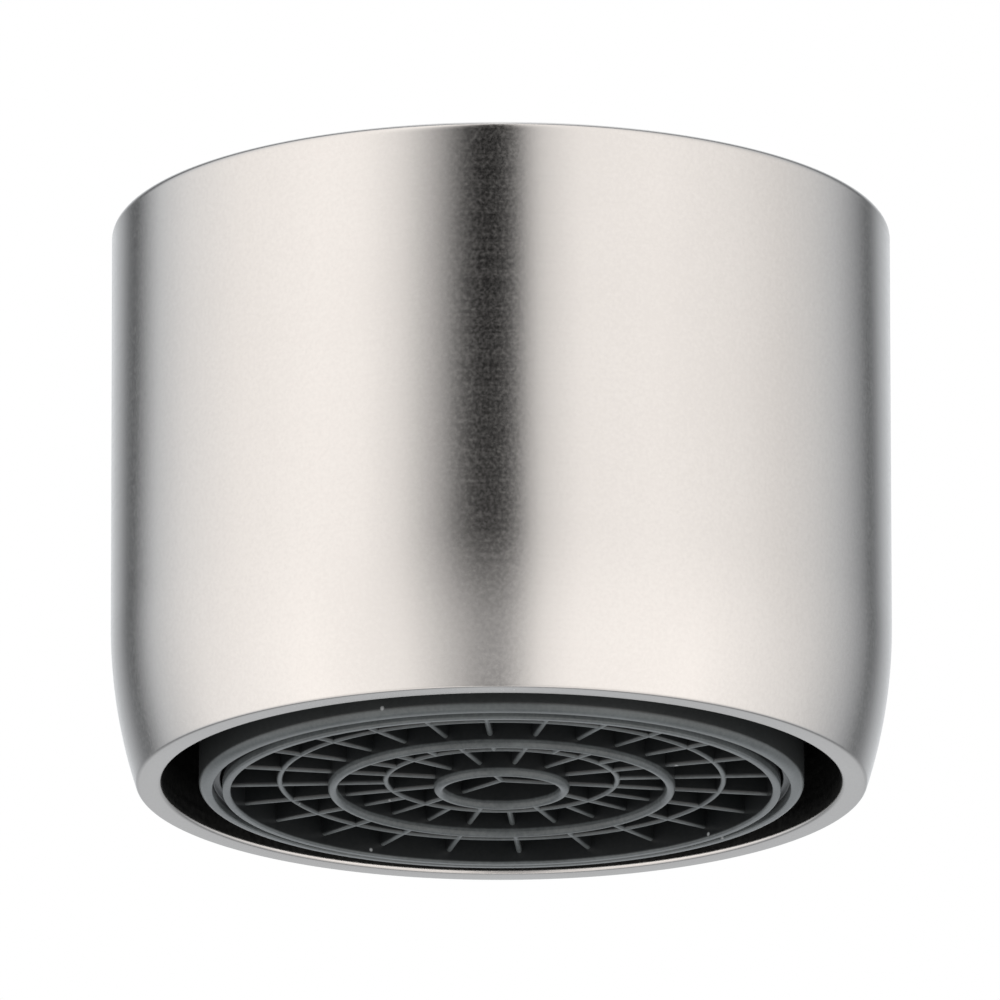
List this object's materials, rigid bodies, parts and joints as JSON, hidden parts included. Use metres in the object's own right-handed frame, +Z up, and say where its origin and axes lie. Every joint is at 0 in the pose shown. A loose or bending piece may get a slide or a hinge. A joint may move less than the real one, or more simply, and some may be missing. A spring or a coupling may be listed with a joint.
{
  "type": "tap aerator",
  "caption": "Short round tap aerator: a satin nickel sleeve with a female inlet thread holds a washer, strainer and dark plastic cartridge with a ringed outlet grille.",
  "frame": {"origin": "on the sleeve's axis, in the plane of the outlet grille's ring fronts, which is the part's lowest plane", "axes": "+Z up the axis from the outlet to the tap, as installed; X and Y across, one grille spoke 11.25 degrees from +X"},
  "size_m": [0.024, 0.024, 0.0179],
  "materials": {
    "satin_nickel": "brass with a satin nickel plate, fine brushing round the axis",
    "cartridge_plastic": "moulded charcoal plastic",
    "grille_plastic": "moulded charcoal plastic, soft sheen",
    "sieve_plastic": "moulded natural plastic",
    "jet_plastic": "moulded grey plastic",
    "grid_plastic": "moulded charcoal plastic",
    "washer_rubber": "moulded black rubber",
    "flow_rubber": "moulded dark rubber"
  },
  "bodies": {
    "root": {"sleeve": "satin_nickel", "sealing_washer": "washer_rubber", "inlet_strainer": "sieve_plastic", "flow_washer": "flow_rubber", "jet_plate": "jet_plastic", "cartridge_body": "cartridge_plastic", "mixing_grid_upper": "grid_plastic", "mixing_grid_lower": "grid_plastic", "outlet_grille": "grille_plastic"}
  },
  "joints": []
}
